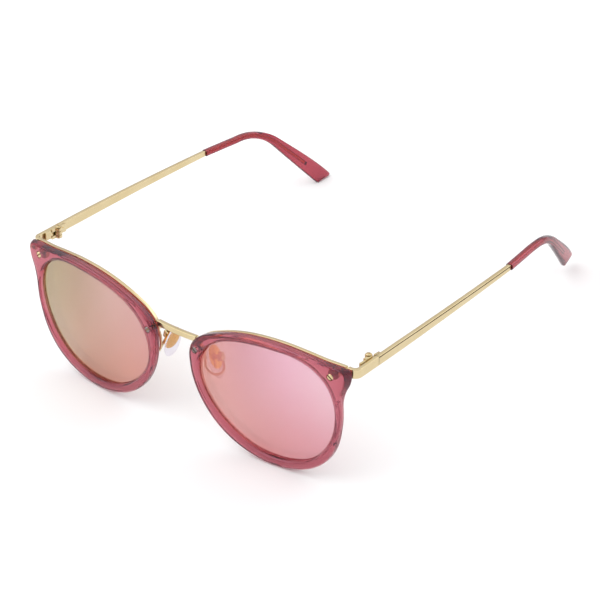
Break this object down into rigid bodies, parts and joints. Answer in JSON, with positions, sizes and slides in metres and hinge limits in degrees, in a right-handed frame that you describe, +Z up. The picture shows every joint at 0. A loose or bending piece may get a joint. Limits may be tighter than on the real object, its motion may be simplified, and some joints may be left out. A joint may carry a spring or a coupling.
{
  "type": "sunglasses",
  "caption": "Cat eye sunglasses: acetate rims screwed to a metal brow chassis, mirrored lenses, folding temples with acetate tips, and rocking nose pads.",
  "frame": {"origin": "middle of the footprint on the surface that the open frame stands on", "axes": "+Z up, -Y towards what the wearer looks at, +Y towards the ears, +X to the wearer's left"},
  "size_m": [0.1446, 0.1496, 0.0484],
  "materials": {
    "rose_acetate": "polished",
    "gold_metal": "polished",
    "silver_metal": "polished",
    "lens_right": "polished",
    "lens_left": "polished",
    "silicone": "satin"
  },
  "bodies": {
    "front": {"bridge": "gold_metal", "rim_right": "rose_acetate", "lens_right": "lens_right", "brow_bar_right": "gold_metal", "end_piece_right": "gold_metal", "rim_screw_outer_right": "gold_metal", "rim_screw_nasal_right": "silver_metal", "hinge_front_leaf_right": "gold_metal", "hinge_screw_right": "gold_metal", "nose_pad_arm_right": "gold_metal", "nose_pad_box_right": "gold_metal", "nose_pad_screw_right": "gold_metal", "rim_left": "rose_acetate", "lens_left": "lens_left", "brow_bar_left": "gold_metal", "end_piece_left": "gold_metal", "rim_screw_outer_left": "gold_metal", "rim_screw_nasal_left": "silver_metal", "hinge_front_leaf_left": "gold_metal", "hinge_screw_left": "gold_metal", "nose_pad_arm_left": "gold_metal", "nose_pad_box_left": "gold_metal", "nose_pad_screw_left": "gold_metal"},
    "temple_right": {"temple_right": "gold_metal", "temple_tip_right": "rose_acetate", "hinge_temple_leaf_right": "gold_metal"},
    "temple_left": {"temple_left": "gold_metal", "temple_tip_left": "rose_acetate", "hinge_temple_leaf_left": "gold_metal"},
    "pad_right": {"nose_pad_right": "silicone", "nose_pad_plate_right": "gold_metal"},
    "pad_left": {"nose_pad_left": "silicone", "nose_pad_plate_left": "gold_metal"}
  },
  "joints": [
    {"name": "temple_fold_right", "type": "hinge", "parent": "front", "child": "temple_right", "pos_m": [-0.06935, -0.05353, 0.04278], "axis": [0, -0.148, -0.989], "range_deg": [0, 87]},
    {"name": "temple_fold_left", "type": "hinge", "parent": "front", "child": "temple_left", "pos_m": [0.06935, -0.05353, 0.04278], "axis": [0, 0.148, 0.989], "range_deg": [0, 82]},
    {"name": "pad_rock_right", "type": "hinge", "parent": "front", "child": "pad_right", "pos_m": [-0.01161, -0.06291, 0.0269], "axis": [-0.1391, -0.9842, 0.11], "range_deg": [-8, 8]},
    {"name": "pad_rock_left", "type": "hinge", "parent": "front", "child": "pad_left", "pos_m": [0.01161, -0.06291, 0.0269], "axis": [-0.1391, 0.9842, -0.11], "range_deg": [-8, 8]}
  ]
}
